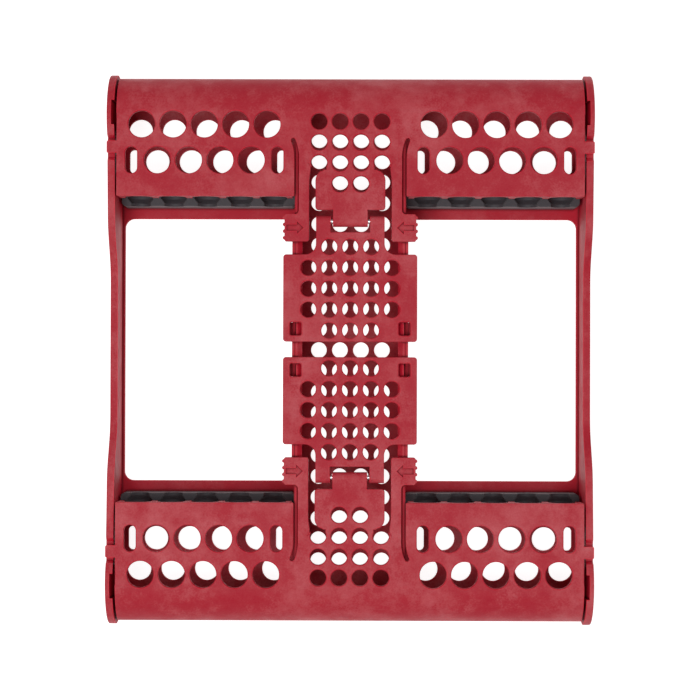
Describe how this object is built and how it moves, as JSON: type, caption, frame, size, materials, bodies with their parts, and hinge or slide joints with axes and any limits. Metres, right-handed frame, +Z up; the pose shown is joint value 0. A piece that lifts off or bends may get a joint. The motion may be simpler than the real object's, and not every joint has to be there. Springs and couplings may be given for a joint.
{
  "type": "instrument sterilisation cassette",
  "caption": "Flat hinged tray for dental or surgical instruments, with perforated covers at both ends, squeeze latches, soft rails and a lidded middle channel.",
  "frame": {"origin": "centre of the tray's underside", "axes": "+X across the tray to its right side wall, +Y to the rear end, +Z up from the table"},
  "size_m": [0.1778, 0.2032, 0.0317],
  "materials": {
    "red_plastic": "fine matte moulded grain",
    "grey_silicone": "dull silicone",
    "steel_pin": "drawn pin"
  },
  "bodies": {
    "tray": {"base_tray": "red_plastic", "rear_left_instrument_rail": "grey_silicone", "rear_right_instrument_rail": "grey_silicone", "front_left_instrument_rail": "grey_silicone", "front_right_instrument_rail": "grey_silicone"},
    "rear_cover": {"rear_cover": "red_plastic", "rear_lid_hinge_pin": "steel_pin", "rear_left_hold_down_rail": "grey_silicone", "rear_right_hold_down_rail": "grey_silicone"},
    "rear_lid": {"rear_accessory_lid": "red_plastic"},
    "rear_left_latch": {"rear_left_latch_arm": "red_plastic"},
    "rear_right_latch": {"rear_right_latch_arm": "red_plastic"},
    "front_cover": {"front_cover": "red_plastic", "front_lid_hinge_pin": "steel_pin", "front_left_hold_down_rail": "grey_silicone", "front_right_hold_down_rail": "grey_silicone"},
    "front_lid": {"front_accessory_lid": "red_plastic"},
    "front_left_latch": {"front_left_latch_arm": "red_plastic"},
    "front_right_latch": {"front_right_latch_arm": "red_plastic"}
  },
  "joints": [
    {"name": "rear_cover_hinge", "type": "hinge", "parent": "tray", "child": "rear_cover", "pos_m": [0, 0.0858, 0.0163], "axis": [-1, 0, 0], "range_deg": [0, 105]},
    {"name": "rear_lid_hinge", "type": "hinge", "parent": "rear_cover", "child": "rear_lid", "pos_m": [0, 0.0467, 0.0288], "axis": [-1, 0, 0], "range_deg": [0, 115]},
    {"name": "rear_left_latch_press", "type": "hinge", "parent": "rear_cover", "child": "rear_left_latch", "pos_m": [-0.01695, 0.0665, 0.0297], "axis": [0, 0, 1], "range_deg": [0, 4], "stiffness_Nm_per_rad": 1},
    {"name": "rear_right_latch_press", "type": "hinge", "parent": "rear_cover", "child": "rear_right_latch", "pos_m": [0.01695, 0.0665, 0.0297], "axis": [0, 0, -1], "range_deg": [0, 4], "stiffness_Nm_per_rad": 1},
    {"name": "front_cover_hinge", "type": "hinge", "parent": "tray", "child": "front_cover", "pos_m": [0, -0.0858, 0.0163], "axis": [1, 0, 0], "range_deg": [0, 105]},
    {"name": "front_lid_hinge", "type": "hinge", "parent": "front_cover", "child": "front_lid", "pos_m": [0, -0.0467, 0.0288], "axis": [1, 0, 0], "range_deg": [0, 115]},
    {"name": "front_left_latch_press", "type": "hinge", "parent": "front_cover", "child": "front_left_latch", "pos_m": [-0.01695, -0.0665, 0.0297], "axis": [0, 0, -1], "range_deg": [0, 4], "stiffness_Nm_per_rad": 1},
    {"name": "front_right_latch_press", "type": "hinge", "parent": "front_cover", "child": "front_right_latch", "pos_m": [0.01695, -0.0665, 0.0297], "axis": [0, 0, 1], "range_deg": [0, 4], "stiffness_Nm_per_rad": 1}
  ]
}
